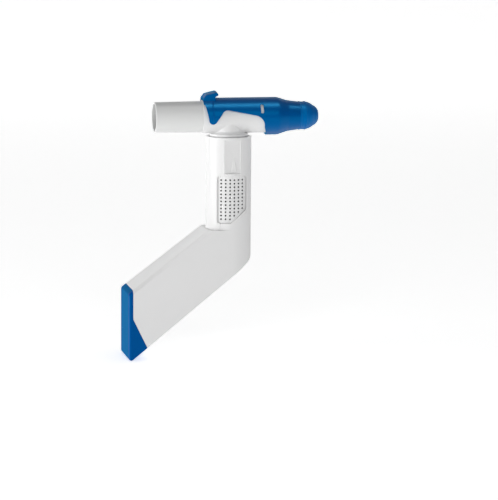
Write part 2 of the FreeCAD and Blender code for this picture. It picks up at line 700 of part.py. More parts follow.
def make_inhale_flap():
    """Soft disc on a stem, which lifts off its seat when air comes in through the port."""
    body = new_body("inhale_flap", "tee_height")
    face = "(%s + flap_gap)" % SEAT_RIGHT
    back = "(%s - flap_travel)" % SEAT_LEFT
    turned(
        body, "Revolution", "disc", "H_Axis",
        [(back + " - bulb_length", "0"), (back + " - bulb_length", "stem_radius"), (back, "bulb_radius"),
         (back, "stem_radius"), (face, "stem_radius"), (face, "flap_radius"),
         (face + " + flap_thickness / 2", "flap_radius"), (face + " + flap_thickness", "bulb_radius * 2"),
         (face + " + flap_thickness", "0")])
    return body


# Nose piece

NOZZLE_END = "(waist_reach + nozzle_length)"


def make_nose_sleeve():
    """Clip sleeve: an open half shell over the head, a full ring, and a cone with a nozzle."""
    body = new_body("nose_sleeve", "tee_height")
    turned(
        body, "Revolution", "outside", "H_Axis",
        [("-sleeve_left", "0"), ("-sleeve_left", "sleeve_radius"), ("sleeve_right", "sleeve_radius"),
         ("cone_reach", "cone_radius"), ("waist_reach", "waist_radius"), ("waist_reach", "nozzle_radius"),
         (NOZZLE_END, "nozzle_radius"), (NOZZLE_END, "0")],
        rounds={2: "cone_round", 3: "cone_round"})
    rib = turned(
        body, "Revolution", "arm_rib", "H_Axis",
        [("-rib_reach - rib_width / 2", "tee_radius"), ("-rib_reach - rib_width / 2", "sleeve_radius"),
         ("-rib_reach", "sleeve_radius + rib_proud"), ("-rib_reach + rib_width / 2", "sleeve_radius"),
         ("-rib_reach + rib_width / 2", "tee_radius")])
    rib.Midplane = True
    bind(rib, Angle="2 * acos((arm_tip / 2 - arm_drop) / sleeve_radius)")
    thumb_catch(body)
    bore = "(tee_radius + sleeve_play)"
    nozzle_bore = "(nozzle_radius - nozzle_wall)"
    turned(
        body, "Groove", "bore", "H_Axis",
        [("-sleeve_left - tool_margin", "0"), ("-sleeve_left - tool_margin", bore),
         ("tee_right + 2 * sleeve_play", bore),
         ("tee_right + 2 * sleeve_play", "tee_bore"), ("waist_reach", nozzle_bore),
         (NOZZLE_END + " + tool_margin", nozzle_bore), (NOZZLE_END + " + tool_margin", "0")])
    clip_cut_out(body)
    window = pushed(
        body, "Pocket", "window_slots",
        [("slot_reach - slot_width / 2", "slot_bottom"), ("slot_reach + slot_width / 2", "slot_bottom"),
         ("slot_reach + slot_width / 2", "slot_top"), ("slot_reach - slot_width / 2", "slot_top")],
        rounds={0: "slot_width / 3", 1: "slot_width / 3", 2: "slot_width / 3", 3: "slot_width / 3"})
    body.Tip = window
    return body


def thumb_catch(body):
    """Raised catch that leans over towards the nose end, by which the clip is lifted off."""
    tip_floor = "(catch_tip_rise - catch_lip)"
    blank_top = "catch_rise + tool_margin"
    pushed(
        body, "Pad", "thumb_catch",
        [("-sleeve_left", "tee_radius / 2"), ("-sleeve_left", blank_top), ("-catch_tip", blank_top),
         ("-catch_tip", tip_floor), ("-catch_root", "sleeve_radius + catch_undercut"),
         ("-catch_root", "tee_radius / 2")],
        rounds={3: "catch_lip / 3", 4: "catch_undercut / 2"}, depth="2 * catch_half_width")
    turned(
        body, "Groove", "catch_crown", "H_Axis",
        [("-sleeve_left - tool_margin", "catch_back_rise - 2 * catch_back_cut"),
         ("-sleeve_left + catch_back_cut", "catch_back_rise"), ("-catch_crest", "catch_rise"),
         ("-catch_tip", "catch_tip_rise"), ("-catch_tip + tool_margin", "catch_tip_rise"),
         ("-catch_tip + tool_margin", "2 * catch_rise"), ("-sleeve_left - tool_margin", "2 * catch_rise")],
        rounds={1: "catch_round / 2", 2: "catch_round"})


def clip_cut_out(body):
    """Takes the shell away below its arch, and leaves a clip arm on each side of the head."""
    arm_left = "(-arm_reach - arm_tip)"
    low = "-1.3 * sleeve_radius"
    pushed(
        body, "Pocket", "clip_cut_out",
        [("-2 * sleeve_left", low), ("-2 * sleeve_left", "end_notch_rise"),
         (arm_left + " - arm_lean", "end_notch_rise"), (arm_left, "-arm_drop + arm_tip"),
         ("-arm_reach", "-arm_drop"),
         ("-arm_reach + arm_tip * sin(arm_turn)", "-arm_drop + arm_tip * (1 - cos(arm_turn))"),
         ("-arch_reach", "arch_rise"), ("arch_shoulder", "arch_shoulder_rise"),
         ("arch_end", "arch_shoulder_rise - arch_end_drop"), ("arch_end + arch_end_lean", low)],
        rounds={2: "arm_tip / 4", 6: "arch_round"},
        arcs={3: ("arm_tip", 1), 4: ("arm_tip", 1), 7: ("arch_end_round", -1)})


def make_nose_tip():
    """Soft rounded tip over the nozzle, with two beads and an opening at its end."""
    body = new_body("nose_tip", "tee_height")
    seat = "(nozzle_radius + tip_play)"
    second = "(waist_reach + tip_band)"
    bulge = "(%s + bulge_beyond)" % NOZZLE_END
    lip = "(%s + tip_beyond - tip_lip)" % NOZZLE_END
    turned(
        body, "Revolution", "dome", "H_Axis",
        [("waist_reach", seat), ("waist_reach", "waist_radius"), ("waist_reach + bead_width", "waist_radius"),
         (second, "waist_radius"), (second + " + bead_width", "waist_radius"),
         (bulge, "tip_bulge_radius"),
         (lip + " + tip_lip / 2", "tip_hole + tip_lip / 2"), (lip, "tip_hole"),
         (lip + " - tip_wall / 2", "tip_hole"),
         (bulge + " - tip_wall / 2", "tip_bulge_radius - tip_wall"),
         (NOZZLE_END + " + tip_wall / 2", seat)],
        arcs={1: ("bead_radius", -1), 3: ("bead_radius", -1), 4: ("tip_dome", -1), 5: ("tip_crown", -1),
              6: ("tip_lip", -1)})
    return body


# Valve hose

def make_valve_hose():
    """Soft hose on the head's spigot, round at its top and pressed flat towards its end in the duct."""
    inner_round = value("%s + hose_play" % SPIGOT)
    wall = value("hose_wall")
    hose = DOC.addObject("Part::Feature", "valve_hose")
    hose.Shape = hose_form(inner_round + wall, wall, 0).cut(hose_form(inner_round, 0, wall))
    return hose


def hose_form(round_radius, wall, beyond):
    """Straight stretch, bend and flattening stretch of the hose, longer by beyond at both ends."""
    fall = value("(%s + %s) / 2" % (TOP_FALL, BOTTOM_FALL))
    down = FreeCAD.Vector(0, 0, -1)
    along = FreeCAD.Vector(-1, 0, -fall).normalize()
    elbow = FreeCAD.Vector(0, 0, value(
        "-(ledge_drop - %s * ledge_reach + heel_drop + %s * tube_radius) / 2" % (TOP_FALL, BOTTOM_FALL)))
    turn = down.getAngle(along)
    bend = value("hose_bend")
    tangent = bend * math.tan(turn / 2)
    start = elbow - down * tangent
    length = value("rim_height - hose_top_drop") + beyond - start.z
    straight = Part.makeCylinder(round_radius, length, start)
    disc = Part.Face(Part.Wire(Part.makeCircle(round_radius, start, down)))
    centre = start - FreeCAD.Vector(bend, 0, 0)
    bent = disc.revolve(centre, FreeCAD.Vector(0, 1, 0), math.degrees(turn))
    bend_end = elbow + along * tangent
    reach = value("duct_reach") * math.sqrt(1 + fall ** 2) - value("hose_end_gap") - tangent
    sections = []
    for part in (0, 0.3, 0.65, 1):
        share = math.sin(part * math.pi / 2)
        sections.append(oval(bend_end + along * reach * part, along, share, round_radius, wall))
    flattened = Part.makeLoft(sections, True)
    form = straight.fuse([bent, flattened])
    if beyond:
        end_face = max(flattened.Faces, key=lambda face: face.CenterOfMass.dot(along))
        form = form.fuse(end_face.extrude(along * beyond))
    return form


def oval(place, way, share, round_radius, wall):
    """Section of the hose: a circle, or an oval that is wide from front to back."""
    across = FreeCAD.Vector(0, 1, 0)
    wide = round_radius + (value("hose_flat_half_width - hose_wall") + wall - round_radius) * share
    high = round_radius + (value("hose_flat_half_height - hose_wall") + wall - round_radius) * share
    if share:
        section = Part.Ellipse(place + across * wide, place + way.cross(across) * high, place)
    else:
        section = Part.Circle(place, way, round_radius)
        section.XAxis = across
    return Part.Wire([section.toShape()])


# The whole device

def check(thing, label):
    """Stops when an object of the document failed or a sub-part isn't a sound solid."""
    shape = thing.Shape
    if shape.isNull() or not shape.isValid() or not shape.Solids:
        raise RuntimeError("%s has no sound solid" % label)


def main():
    envelope = make_envelope()
    front_grille, rear_grille = make_panels(make_holes())
    parts = {
        "housing": make_housing(envelope), "front_grille": front_grille, "rear_grille": rear_grille,
        "end_cap": make_end_cap(envelope), "tee_head": make_tee_head(), "port_tube": make_port_tube(),
        "valve_seat": make_valve_seat(), "inhale_flap": make_inhale_flap(), "nose_sleeve": make_nose_sleeve(),
        "nose_tip": make_nose_tip(), "valve_hose": make_valve_hose(),
    }
    DOC.recompute()
    failed = [thing.Name for thing in DOC.Objects if {"Invalid", "Error"} & set(thing.State)]
    if failed:
        raise RuntimeError("failed: " + ", ".join(failed))
    for label, thing in parts.items():
        thing.Label = label
        check(thing, label)
    os.makedirs("parts", exist_ok=True)
    for label, thing in parts.items():
        thing.Shape.exportStep(os.path.join("parts", label + ".step"))
        print("%-14s %d solid, %9.1f mm3" % (label, len(thing.Shape.Solids), thing.Shape.Volume))


main()
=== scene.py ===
"""Finishes and stage for a hand-held expiratory pressure device.

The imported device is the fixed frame. Each operator below dresses one piece of it or one group of like
pieces, and the last one sets up the floor, the lamps and the camera. Lengths are in metres, in the
device's own frame: Z runs up the grip tube, and the nose piece points along X.
"""

import math

import bmesh
import bpy
from mathutils import Matrix, Vector


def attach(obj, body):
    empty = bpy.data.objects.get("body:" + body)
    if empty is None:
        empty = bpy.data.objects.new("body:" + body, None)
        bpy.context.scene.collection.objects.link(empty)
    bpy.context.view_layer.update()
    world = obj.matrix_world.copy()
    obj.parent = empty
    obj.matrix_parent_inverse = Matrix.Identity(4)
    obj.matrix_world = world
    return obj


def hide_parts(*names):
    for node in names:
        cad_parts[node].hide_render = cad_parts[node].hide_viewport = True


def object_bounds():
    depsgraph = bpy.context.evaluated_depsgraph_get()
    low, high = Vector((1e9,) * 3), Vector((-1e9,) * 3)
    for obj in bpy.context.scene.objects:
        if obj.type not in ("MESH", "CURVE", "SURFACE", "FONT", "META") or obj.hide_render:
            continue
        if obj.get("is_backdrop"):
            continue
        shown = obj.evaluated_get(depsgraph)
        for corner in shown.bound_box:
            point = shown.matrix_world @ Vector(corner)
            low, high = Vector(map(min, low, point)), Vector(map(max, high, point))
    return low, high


bl_info = {
    "name": "Expiratory Pressure Device Finish",
    "version": (1, 0, 0),
    "blender": (4, 5, 0),
    "location": "3D View > Sidebar > Device",
    "description": "Dresses a packed expiratory pressure device and sets up its stage",
    "category": "Object",
}

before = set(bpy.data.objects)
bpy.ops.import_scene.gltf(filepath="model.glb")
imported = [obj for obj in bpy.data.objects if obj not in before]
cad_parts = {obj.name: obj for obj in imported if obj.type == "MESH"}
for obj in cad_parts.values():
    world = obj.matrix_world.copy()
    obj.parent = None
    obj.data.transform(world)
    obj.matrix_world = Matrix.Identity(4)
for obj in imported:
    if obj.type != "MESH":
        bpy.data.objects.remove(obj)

MM = 0.001

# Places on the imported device
DUCT_EDGES_END = 2.0 * MM
RIM_HEIGHT = 34.0 * MM
SHOWN_RIM_HEIGHT = 32.3 * MM
COLLAR_RADIUS = 14.05 * MM
COLLAR_UNDERSIDE = 32.75 * MM
COLLAR_UNDERCUT = 0.4 * MM
FLAT_LEVEL = -14.92 * MM
FLAT_SINK = 0.45 * MM
FLAT_HALF_WIDTH = 6.0 * MM
FLAT_WALL_RUN = 0.7 * MM
FLAT_BOTTOM = 6.3 * MM
FLAT_TOP = 30.6 * MM
FLAT_FRONT = -15.75 * MM
POINTER_LEVEL = -15.32 * MM
POINTER_MIDDLE = Vector((1.2 * MM, 11.5 * MM))
POINTER_HIGHEST = 24.0 * MM
POINTER_TAPER = 0.84
POINTER_RIDGE = 0.08 * MM

# How near a point counts as on an edge, on the collar's wall or on a flat face, and two points as one
NEAR_EDGE = 0.1 * MM
NEAR_COLLAR = 0.2 * MM
NEAR_FACE = 0.03 * MM
SAME_PLACE = 0.002 * MM

# How far a face's normal has to lean one way
FACING = 0.5
FACING_SIDE = 0.7
HARDLY_FACING = 0.2

# Angles in degrees from which an edge counts as sharp
SHARP_ANGLE = 32.0
HOUSING_SHARP_ANGLE = 40.0

# Gloss of the plastics
PLAIN_GLOSS = 0.15
BLUE_GLOSS_TINT = (0.0, 0.55, 1.0)
GLANCE_SHEEN = 0.5
GLANCE_TINT = (0.1, 0.8, 1.0)

# Camera and floor
AIM = Vector((0.0, 0.0, -46.0 * MM))
FRAME_HEIGHT = 36.0
AXIS_PIXEL = (228.0, 243.0)
PHOTO_SIZE = (498.0, 500.0)
FLOOR_SIZE = 6.0
FLOOR_DROP = 0.5 * MM
FLOOR_BEND = 0.8
FLOOR_BEND_STEPS = 16

# Lamps: place, point that each one faces, width and height, in metres
LAMPS = {
    "key_light": ((-1.5, -0.1, -0.04), (0.0, 0.0, -0.04), 0.5, 0.17),
    "top_light": ((0.0, -0.25, 1.2), (0.0, 0.0, 0.0), 1.3, 0.14),
    "gloss_light": ((0.0, -0.3, 1.2), (0.0, 0.0, 0.0), 1.3, 0.45),
    "fill_light": ((-0.3, -1.7, 0.75), (0.0, 0.0, 0.0), 1.4, 0.9),
}


# Settings a user would change

class DeviceColours(bpy.types.PropertyGroup):
    """Colours of the moulded pieces, as they look in plain light."""

    white: bpy.props.FloatVectorProperty(
        name="White", description="Housing and head", subtype="COLOR_GAMMA", size=3,
        min=0.0, max=1.0, default=(0.905, 0.905, 0.905))
    port: bpy.props.FloatVectorProperty(
        name="Port Tube", description="The port tube, a little greyer", subtype="COLOR_GAMMA", size=3,
        min=0.0, max=1.0, default=(0.875, 0.878, 0.875))
    blue: bpy.props.FloatVectorProperty(
        name="Blue", description="Clip sleeve", subtype="COLOR_GAMMA", size=3,
        min=0.0, max=1.0, default=(0.0, 0.29, 0.565))
    cap: bpy.props.FloatVectorProperty(
        name="Cap", description="End cap, a deeper blue", subtype="COLOR_GAMMA", size=3,
        min=0.0, max=1.0, default=(0.0, 0.225, 0.53))
    tip: bpy.props.FloatVectorProperty(
        name="Soft Tip", description="Soft dome of the nose piece", subtype="COLOR_GAMMA", size=3,
        min=0.0, max=1.0, default=(0.0, 0.35, 0.64))
    hose: bpy.props.FloatVectorProperty(
        name="Hose", description="Soft hose and flap inside", subtype="COLOR_GAMMA", size=3,
        min=0.0, max=1.0, default=(0.07, 0.075, 0.08))


class DeviceSurface(bpy.types.PropertyGroup):
    """Surface detail of the moulded pieces."""

    edge_round: bpy.props.FloatProperty(
        name="Edge Round", description="Radius of the moulded pieces' small edges", unit="LENGTH",
        min=0.0, max=0.002, default=0.35 * MM)
    duct_round: bpy.props.FloatProperty(
        name="Duct Edge Round", description="Radius of the duct's lower long edges", unit="LENGTH",
        min=0.0, max=0.002, default=1.4 * MM)
    grain_size: bpy.props.FloatProperty(
        name="Grain Size", description="Width of one grain of the mould's fine texture", unit="LENGTH",
        min=0.00005, max=0.002, default=0.35 * MM)
    grain_depth: bpy.props.FloatProperty(
        name="Grain Depth", description="Depth of that texture", unit="LENGTH",
        min=0.0, max=0.0002, default=0.004 * MM)


class DeviceStage(bpy.types.PropertyGroup):
    """View and light."""

    azimuth: bpy.props.FloatProperty(
        name="Azimuth", description="Camera's turn about the device, from the front towards the nose piece",
        subtype="ANGLE", default=math.radians(-11.0))
    elevation: bpy.props.FloatProperty(
        name="Elevation", description="Camera's height angle", subtype="ANGLE", default=math.radians(8.3))
    roll: bpy.props.FloatProperty(
        name="Roll", description="Camera's roll", subtype="ANGLE", default=math.radians(0.3))
    distance: bpy.props.FloatProperty(
        name="Distance", description="Camera's distance from the device", unit="LENGTH", default=2.0)
    lens: bpy.props.FloatProperty(
        name="Lens", description="Focal length for a frame 36 mm high", default=198.1)
    key_power: bpy.props.FloatProperty(
        name="Key Light", description="Power of the low key light in watts", min=0.0, default=11.0)
    fill_power: bpy.props.FloatProperty(
        name="Fill Light", description="Power of the soft front light in watts", min=0.0, default=10.2)
    top_power: bpy.props.FloatProperty(
        name="Top Light", description="Power of the long light overhead in watts", min=0.0, default=1.2)
    gloss_power: bpy.props.FloatProperty(
        name="Gloss Light", description="Power of the wide light overhead that only shows as a reflection",
        min=0.0, default=7.0)
    sky: bpy.props.FloatProperty(
        name="Surround", description="Strength of the even light from all round", min=0.0, default=0.16)
    glow: bpy.props.FloatProperty(
        name="Floor Glow", description="Strength of the light that the floor gives off",
        min=0.0, default=0.6)


# Shader groups

def linear(colour):
    """A display colour as the linear one that a shader takes."""
    return [part / 12.92 if part <= 0.04045 else ((part + 0.055) / 1.055) ** 2.4 for part in colour]


def new_group(name, inputs, outputs):
    """Empty shader node group with its inputs and outputs."""
    group = bpy.data.node_groups.new(name, "ShaderNodeTree")
    for label, kind, default in inputs:
        socket = group.interface.new_socket(label, in_out="INPUT", socket_type=kind)
        if default is not None:
            socket.default_value = default
    for label, kind in outputs:
        group.interface.new_socket(label, in_out="OUTPUT", socket_type=kind)
    return group, group.nodes.new("NodeGroupInput"), group.nodes.new("NodeGroupOutput")


def mould_grain_group():
    """Fine even texture of a moulded surface, as a height, and a slow unevenness of its gloss."""
    if "Mould Grain" in bpy.data.node_groups:
        return bpy.data.node_groups["Mould Grain"]
    group, given, put = new_group(
        "Mould Grain",
        [("Grain Scale", "NodeSocketFloat", 2500.0), ("Patch Scale", "NodeSocketFloat", 60.0),
         ("Gloss", "NodeSocketFloat", 0.4), ("Gloss Spread", "NodeSocketFloat", 0.06)],
        [("Height", "NodeSocketFloat"), ("Roughness", "NodeSocketFloat"), ("Patch", "NodeSocketFloat")])
    nodes, links = group.nodes, group.links
    place = nodes.new("ShaderNodeTexCoord")
    grain = nodes.new("ShaderNodeTexNoise")
    grain.inputs["Detail"].default_value = 2.0
    links.new(place.outputs["Object"], grain.inputs["Vector"])
    links.new(given.outputs["Grain Scale"], grain.inputs["Scale"])
    patch = nodes.new("ShaderNodeTexNoise")
    patch.inputs["Detail"].default_value = 3.0
    links.new(place.outputs["Object"], patch.inputs["Vector"])
    links.new(given.outputs["Patch Scale"], patch.inputs["Scale"])
    centred = nodes.new("ShaderNodeMath")
    centred.operation = "SUBTRACT"
    centred.inputs[1].default_value = 0.5
    links.new(patch.outputs["Fac"], centred.inputs[0])
    gloss = nodes.new("ShaderNodeMath")
    gloss.operation = "MULTIPLY_ADD"
    links.new(centred.outputs[0], gloss.inputs[0])
    links.new(given.outputs["Gloss Spread"], gloss.inputs[1])
    links.new(given.outputs["Gloss"], gloss.inputs[2])
    links.new(grain.outputs["Fac"], put.inputs["Height"])
    links.new(gloss.outputs[0], put.inputs["Roughness"])
    links.new(patch.outputs["Fac"], put.inputs["Patch"])
    return group


def shade_shift_group():
    """Slight drift of a moulded colour: a little deeper in some patches than in others."""
    if "Shade Shift" in bpy.data.node_groups:
        return bpy.data.node_groups["Shade Shift"]
    group, given, put = new_group(
        "Shade Shift",
        [("Colour", "NodeSocketColor", (0.8, 0.8, 0.8, 1.0)),
         ("Deep Colour", "NodeSocketColor", (0.7, 0.7, 0.7, 1.0)),
         ("Patch", "NodeSocketFloat", 0.5), ("Amount", "NodeSocketFloat", 0.3)],
        [("Colour", "NodeSocketColor")])
    nodes, links = group.nodes, group.links
    share = nodes.new("ShaderNodeMath")
    share.operation = "MULTIPLY"
    links.new(given.outputs["Patch"], share.inputs[0])
    links.new(given.outputs["Amount"], share.inputs[1])
    mix = nodes.new("ShaderNodeMix")
    mix.data_type = "RGBA"
    links.new(share.outputs[0], mix.inputs["Factor"])
    links.new(given.outputs["Colour"], mix.inputs["A"])
    links.new(given.outputs["Deep Colour"], mix.inputs["B"])
    links.new(mix.outputs["Result"], put.inputs["Colour"])
    return group


def group_node(tree, group, **values):
    """A group placed in a material with its own values."""
    node = tree.nodes.new("ShaderNodeGroup")
    node.node_tree = group
    for label, number in values.items():
        node.inputs[label.replace("_", " ")].default_value = number
    return node


def tinted_gloss(tree, shader, tint):
    """Tinted gloss that is strongest face on and gives way to a pale sheen at a glancing view."""
    facing = tree.nodes.new("ShaderNodeLayerWeight")
    facing.inputs["Blend"].default_value = 0.5
    fade = tree.nodes.new("ShaderNodeMapRange")
    fade.interpolation_type = "SMOOTHSTEP"
    fade.inputs["From Min"].default_value = 0.3
    fade.inputs["From Max"].default_value = 0.78
    fade.inputs["To Min"].default_value = 1.0
    fade.inputs["To Max"].default_value = 0.0
    tree.links.new(facing.outputs["Facing"], fade.inputs["Value"])
    tree.links.new(fade.outputs["Result"], shader.inputs["Specular IOR Level"])
    shader.inputs["Specular Tint"].default_value = (*tint, 1.0)
    shader.inputs["Sheen Weight"].default_value = GLANCE_SHEEN
    shader.inputs["Sheen Roughness"].default_value = 0.3
    shader.inputs["Sheen Tint"].default_value = (*GLANCE_TINT, 1.0)


def moulded_material(name, colour, gloss, spread, deepening, gloss_tint=None, subsurface=0.0):
    """Moulded plastic or rubber: fine grain, uneven gloss and a slight drift of shade."""
    surface = bpy.context.scene.device_surface
    material = bpy.data.materials.new(name)
    material.use_nodes = True
    tree = material.node_tree
    shader = next(node for node in tree.nodes if node.type == "BSDF_PRINCIPLED")
    base = linear(colour)
    grain = group_node(
        tree, mould_grain_group(), Grain_Scale=1.0 / surface.grain_size, Gloss=gloss, Gloss_Spread=spread)
    deep = [part * deepening for part in base]
    shade = group_node(tree, shade_shift_group(), Colour=(*base, 1.0), Deep_Colour=(*deep, 1.0))
    tree.links.new(grain.outputs["Patch"], shade.inputs["Patch"])
    tree.links.new(shade.outputs["Colour"], shader.inputs["Base Color"])
    tree.links.new(grain.outputs["Roughness"], shader.inputs["Roughness"])
    bump = tree.nodes.new("ShaderNodeBump")
    bump.inputs["Strength"].default_value = 1.0
    bump.inputs["Distance"].default_value = surface.grain_depth
    tree.links.new(grain.outputs["Height"], bump.inputs["Height"])
    tree.links.new(bump.outputs["Normal"], shader.inputs["Normal"])
    shader.inputs["IOR"].default_value = 1.5
    shader.inputs["Specular IOR Level"].default_value = PLAIN_GLOSS
    if gloss_tint:
        tinted_gloss(tree, shader, gloss_tint)
    if subsurface:
        shader.inputs["Subsurface Weight"].default_value = subsurface
        shader.inputs["Subsurface Scale"].default_value = 1.5 * MM
    return material


# Meshes

def lower_outer_edges(work):
    """Outer edges between the duct's underside and its two sides."""
    chosen = []
    for edge in work.edges:
        if len(edge.link_faces) != 2 or max(vert.co.x for vert in edge.verts) > DUCT_EDGES_END:
            continue
        down, side = sorted((face.normal for face in edge.link_faces), key=lambda normal: normal.z)
        if down.z < -FACING and abs(side.y) > FACING_SIDE and abs(side.z) < HARDLY_FACING:
            chosen.append(edge)
    return chosen


def round_lower_edges(work):
    """Rounds the long lower edges of the duct."""
    bmesh.ops.bevel(
        work, geom=lower_outer_edges(work), offset=bpy.context.scene.device_surface.duct_round, segments=5,
        profile=0.5, affect="EDGES", clamp_overlap=True)


def lower_rim(work):
    """Takes the tube's rim down a little, so that the head's collar shows above it."""
    for vert in work.verts:
        if abs(vert.co.z - RIM_HEIGHT) < NEAR_EDGE:
            vert.co.z = SHOWN_RIM_HEIGHT


def shape_flat(work):
    """Turns the front flat flush with the tube on its left, and slopes its right wall."""
    for vert in work.verts:
        if abs(vert.co.y - FLAT_LEVEL) < NEAR_FACE and abs(vert.co.x) < FLAT_HALF_WIDTH + NEAR_EDGE:
            vert.co.y -= FLAT_SINK * (FLAT_HALF_WIDTH - vert.co.x) / (2 * FLAT_HALF_WIDTH)
            if vert.co.x > FLAT_HALF_WIDTH - NEAR_EDGE:
                vert.co.x -= FLAT_WALL_RUN
    work.normal_update()
    for face in work.faces:
        middle = face.calc_center_median()
        if abs(middle.x) < FLAT_HALF_WIDTH and FLAT_BOTTOM < middle.z < FLAT_TOP:
            if FLAT_FRONT < middle.y < FLAT_LEVEL + FLAT_SINK and face.normal.y < -FACING:
                face.smooth = False


def slope_pointer(work):
    """Draws the pointer's raised face in, which gives it sloping sides."""
    for vert in work.verts:
        if abs(vert.co.y - POINTER_LEVEL) < NEAR_FACE and 0.0 < vert.co.z < POINTER_HIGHEST:
            place = Vector((vert.co.x, vert.co.z)) - POINTER_MIDDLE
            vert.co.x = POINTER_MIDDLE.x + place.x * POINTER_TAPER
            vert.co.z = POINTER_MIDDLE.y + place.y * POINTER_TAPER
            vert.co.y -= POINTER_RIDGE


def undercut_collar(work):
    """Draws the collar's wall in below its shown part, which leaves a dark line above the rim."""
    for level in (COLLAR_UNDERSIDE, COLLAR_UNDERSIDE - COLLAR_UNDERCUT):
        bmesh.ops.bisect_plane(
            work, geom=work.verts[:] + work.edges[:] + work.faces[:], plane_co=(0.0, 0.0, level),
            plane_no=(0.0, 0.0, 1.0))
    middle = COLLAR_UNDERSIDE - COLLAR_UNDERCUT / 2
    for vert in work.verts:
        reach = math.hypot(vert.co.x, vert.co.y)
        if abs(reach - COLLAR_RADIUS) < NEAR_COLLAR and vert.co.z < middle:
            share = 1.0 - COLLAR_UNDERCUT / reach
            vert.co.x *= share
            vert.co.y *= share


def soften_edges(piece, sharp_angle):
    """Small rounds on a piece's edges, with even shading of its large faces."""
    bevel = piece.modifiers.new("Edge round", "BEVEL")
    bevel.width = bpy.context.scene.device_surface.edge_round
    bevel.segments = 2
    bevel.limit_method = "ANGLE"
    bevel.angle_limit = math.radians(sharp_angle)
    bevel.use_clamp_overlap = True
    even = piece.modifiers.new("Even shading", "WEIGHTED_NORMAL")
    even.keep_sharp = True
    even.weight = 60


def dressed(
        node_name, piece_name, body, material, round_edges=True, sharp_angle=SHARP_ANGLE, changes=()):
    """A piece in a node's place: the same form with softened edges, smooth rounds and small changes."""
    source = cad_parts[node_name]
    mesh = source.data.copy()
    mesh.name = piece_name
    mesh.materials.clear()
    work = bmesh.new()
    work.from_mesh(mesh)
    bmesh.ops.remove_doubles(work, verts=work.verts, dist=SAME_PLACE)
    for face in work.faces:
        face.smooth = True
    for change in changes:
        change(work)
    work.to_mesh(mesh)
    work.free()
    mesh.materials.append(material)
    piece = bpy.data.objects.new(piece_name, mesh)
    bpy.context.scene.collection.objects.link(piece)
    if round_edges:
        soften_edges(piece, sharp_angle)
    piece.data.set_sharp_from_angle(angle=math.radians(sharp_angle))
    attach(piece, body)
    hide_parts(node_name)
    return piece


def give_material(node_name, material):
    """A shown node keeps its form and takes a material."""
    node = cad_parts[node_name]
    node.data.materials.clear()
    node.data.materials.append(material)


# Operators

class DEVICE_OT_housing(bpy.types.Operator):
    """Dresses the white housing: grip tube, bent duct and position pointer"""

    bl_idname = "device.housing"
    bl_label = "Housing"

    def execute(self, context):
        colours = context.scene.device_colours
        white = moulded_material("white_plastic", colours.white, gloss=0.38, spread=0.08, deepening=0.97)
        dressed(
            "housing", "housing_shell", "housing", white,
            sharp_angle=HOUSING_SHARP_ANGLE,
            changes=(lower_rim, slope_pointer, shape_flat, round_lower_edges))
        return {"FINISHED"}


class DEVICE_OT_grilles(bpy.types.Operator):
    """Dresses the two perforated outlet panels"""

    bl_idname = "device.grilles"
    bl_label = "Outlet Panels"

    def execute(self, context):
        colours = context.scene.device_colours
        panel = moulded_material("panel_plastic", colours.white, gloss=0.45, spread=0.08, deepening=0.96)
        for name in ("front_grille", "rear_grille"):
            give_material(name, panel)
        return {"FINISHED"}


class DEVICE_OT_head(bpy.types.Operator):
    """Dresses the head with its crossing tube and neck, and the one-way valve inside it"""

    bl_idname = "device.head"
    bl_label = "Head"

    def execute(self, context):
        colours = context.scene.device_colours
        white = moulded_material("head_plastic", colours.white, gloss=0.36, spread=0.08, deepening=0.97)
        dressed("tee_head", "head_body", "head", white, changes=(undercut_collar,))
        give_material("valve_seat", white)
        soft = moulded_material(
            "flap_rubber", colours.hose, gloss=0.5, spread=0.1, deepening=0.95, subsurface=0.2)
        give_material("inhale_flap", soft)
        return {"FINISHED"}


class DEVICE_OT_port(bpy.types.Operator):
    """Dresses the port tube"""

    bl_idname = "device.port"
    bl_label = "Port Tube"

    def execute(self, context):
        colours = context.scene.device_colours
        plastic = moulded_material("port_plastic", colours.port, gloss=0.3, spread=0.06, deepening=0.96)
        dressed("port_tube", "port_body", "port", plastic)
        return {"FINISHED"}


class DEVICE_OT_nose_piece(bpy.types.Operator):
    """Dresses the clip sleeve and its soft tip"""

    bl_idname = "device.nose_piece"
    bl_label = "Nose Piece"

    def execute(self, context):
        colours = context.scene.device_colours
        blue = moulded_material(
            "sleeve_plastic", colours.blue, gloss=0.3, spread=0.06, deepening=0.85,
            gloss_tint=BLUE_GLOSS_TINT)
        dressed("nose_sleeve", "clip_sleeve", "nose_piece", blue)
        soft = moulded_material(
            "tip_rubber", colours.tip, gloss=0.42, spread=0.1, deepening=0.85,
            gloss_tint=BLUE_GLOSS_TINT)
        dressed("nose_tip", "soft_tip", "nose_piece", soft)
        return {"FINISHED"}


class DEVICE_OT_end_cap(bpy.types.Operator):
    """Dresses the blue cap at the duct's end"""

    bl_idname = "device.end_cap"
    bl_label = "End Cap"

    def execute(self, context):
        colours = context.scene.device_colours
        blue = moulded_material(
            "cap_plastic", colours.cap, gloss=0.45, spread=0.08, deepening=0.85,
            gloss_tint=BLUE_GLOSS_TINT)
        dressed("end_cap", "duct_cap", "end_cap", blue, changes=(round_lower_edges,))
        return {"FINISHED"}


class DEVICE_OT_valve_hose(bpy.types.Operator):
    """Dresses the soft hose inside the housing"""

    bl_idname = "device.valve_hose"
    bl_label = "Valve Hose"

    def execute(self, context):
        colours = context.scene.device_colours
        soft = moulded_material(
            "hose_rubber", colours.hose, gloss=0.5, spread=0.1, deepening=0.95, subsurface=0.2)
        dressed("valve_hose", "soft_hose", "housing", soft, round_edges=False)
        return {"FINISHED"}


